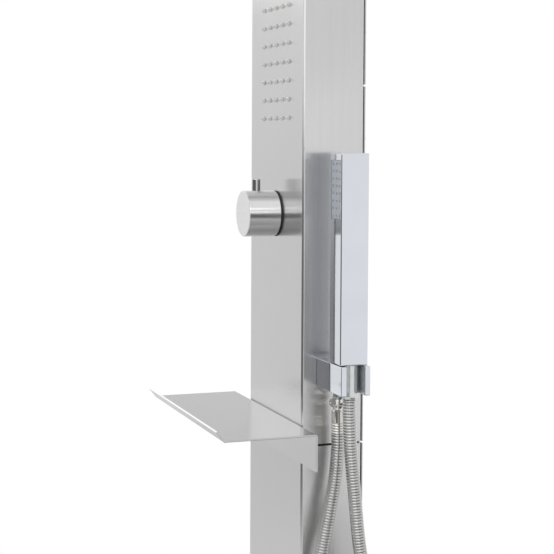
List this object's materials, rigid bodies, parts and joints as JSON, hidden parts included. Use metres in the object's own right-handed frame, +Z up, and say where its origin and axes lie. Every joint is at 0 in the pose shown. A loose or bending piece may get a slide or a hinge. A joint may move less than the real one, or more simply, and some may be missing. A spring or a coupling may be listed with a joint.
{
  "type": "outdoor shower column",
  "caption": "Outdoor shower column of brushed steel with body jets, turning knobs, a shelf, an overhead arm and a lift-out hand shower on a ribbed hose.",
  "frame": {"origin": "centre of the floor plate's underside, on the column's axis", "axes": "+Z up along the column, -Y the front with the jets and knobs, +X the side with the hand shower"},
  "size_m": [0.287, 0.455, 2.15],
  "materials": {
    "brushed_steel": "vertical brushed grain",
    "cover_steel": "vertical brushed grain",
    "plate_steel": "mill finish",
    "satin_steel": "fine satin",
    "fixings": "plain machined",
    "copper_pipe": "bare drawn copper",
    "brass": "machined",
    "cartridge_plastic": "moulded",
    "gasket_rubber": "matt",
    "silicone": "soft matt",
    "chrome": "polished",
    "hose_metal": "polished ribbed",
    "spray_pad": "soft matt"
  },
  "bodies": {
    "column": {"floor_plate": "plate_steel", "upstand": "plate_steel", "upstand_rivets": "fixings", "lower_channel": "brushed_steel", "lower_cover": "cover_steel", "lower_cover_screws": "fixings", "inlet_shelf": "plate_steel", "hot_inlet": "brass", "cold_inlet": "brass", "joining_sleeve": "plate_steel", "sleeve_rivets": "fixings", "upper_channel": "brushed_steel", "middle_cover": "cover_steel", "upper_cover": "cover_steel", "upper_cover_screws": "fixings", "top_frame": "plate_steel", "arm_shell": "brushed_steel", "arm_floor": "brushed_steel", "arm_screws": "fixings", "rain_plate": "brushed_steel", "rain_nozzles": "silicone", "rain_chamber": "plate_steel", "head_pipe": "copper_pipe", "jet_box": "plate_steel", "jets": "silicone", "jet_pipe": "copper_pipe", "mixer_body": "brass", "mixer_cartridge": "cartridge_plastic", "mixer_gasket": "gasket_rubber", "diverter_body": "brass", "diverter_cartridge": "cartridge_plastic", "diverter_gasket": "gasket_rubber", "hot_riser": "copper_pipe", "cold_riser": "copper_pipe", "mixed_pipe": "copper_pipe", "hand_pipe": "copper_pipe", "hand_elbow": "brass", "shelf": "satin_steel", "shelf_studs": "fixings", "shelf_nuts": "fixings", "holder": "chrome", "holder_gasket": "gasket_rubber", "outlet_ball": "chrome", "outlet_nut": "chrome", "outlet_collar": "chrome", "hose": "hose_metal"},
    "mixer": {"mixer_spindle": "brass", "mixer_knob": "satin_steel", "mixer_pin": "satin_steel"},
    "diverter": {"diverter_spindle": "brass", "diverter_knob": "satin_steel", "diverter_pin": "satin_steel"},
    "hand_shower": {"hand_nut": "chrome", "hand_body": "chrome", "hand_cap": "chrome", "hand_pad": "spray_pad", "hand_nozzles": "silicone"}
  },
  "joints": [
    {"name": "mixer_turn", "type": "hinge", "parent": "column", "child": "mixer", "pos_m": [0, -0.0545, 1.141], "axis": [0, -1, 0], "range_deg": [0, 150]},
    {"name": "diverter_turn", "type": "hinge", "parent": "column", "child": "diverter", "pos_m": [0, -0.0545, 1.48], "axis": [0, -1, 0], "range_deg": [-60, 60]},
    {"name": "hand_lift", "type": "slide", "parent": "column", "child": "hand_shower", "axis": [0, 0, 1], "range_m": [0, 0.06]}
  ]
}
